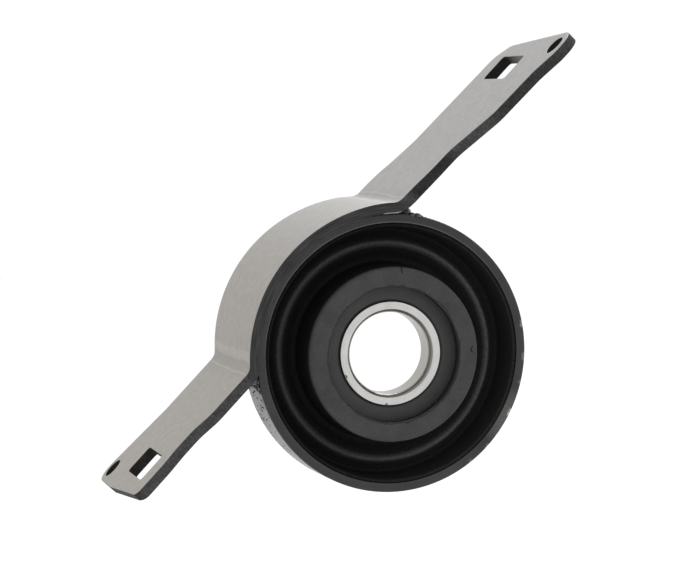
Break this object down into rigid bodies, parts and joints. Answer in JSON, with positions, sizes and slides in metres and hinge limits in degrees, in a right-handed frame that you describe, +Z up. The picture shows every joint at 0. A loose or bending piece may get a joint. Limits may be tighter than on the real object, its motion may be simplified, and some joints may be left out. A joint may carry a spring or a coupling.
{
  "type": "driveshaft centre bearing",
  "caption": "Sealed ball bearing in a convoluted rubber cushion inside a steel ring, welded under a folded plate strap with two bolt-on arms, for the middle of a drive shaft.",
  "frame": {"origin": "centre of the bearing's bore, half way through its width", "axes": "+X along the longer arm, +Y along the bearing axis towards the rear, +Z up towards the arch of the strap"},
  "size_m": [0.2302, 0.0806, 0.106],
  "materials": {
    "plate_steel": "blasted plate, satin, with dark cut edges",
    "ring_steel": "black, satin, worn at the edges",
    "weld_metal": "raw bead with spatter",
    "cushion_rubber": "moulded, matt",
    "bearing_steel": "ground",
    "seal_rubber": "moulded, satin",
    "cage_steel": "pressed strip"
  },
  "bodies": {
    "housing": {"bracket_strap": "plate_steel", "housing_ring": "ring_steel", "weld_left": "weld_metal", "weld_right": "weld_metal", "rubber_cushion": "cushion_rubber", "bearing_outer_ring": "bearing_steel", "seal_front": "seal_rubber", "seal_rear": "seal_rubber"},
    "inner_race": {"bearing_inner_ring": "bearing_steel"},
    "ball_cage": {"cage_front": "cage_steel", "cage_rear": "cage_steel", "cage_rivets": "cage_steel", "ball_1": "bearing_steel", "ball_2": "bearing_steel", "ball_3": "bearing_steel", "ball_4": "bearing_steel", "ball_5": "bearing_steel", "ball_6": "bearing_steel", "ball_7": "bearing_steel", "ball_8": "bearing_steel", "ball_9": "bearing_steel", "ball_10": "bearing_steel", "ball_11": "bearing_steel"}
  },
  "joints": [
    {"name": "shaft_spin", "type": "hinge", "parent": "housing", "child": "inner_race", "pos_m": [0, 0, 0], "axis": [0, 1, 0], "continuous": true},
    {"name": "cage_spin", "type": "hinge", "parent": "housing", "child": "ball_cage", "pos_m": [0, 0, 0], "axis": [0, 1, 0], "continuous": true}
  ],
  "couplings": [
    {"joint": "cage_spin", "follows": "shaft_spin", "ratio": 0.416}
  ]
}
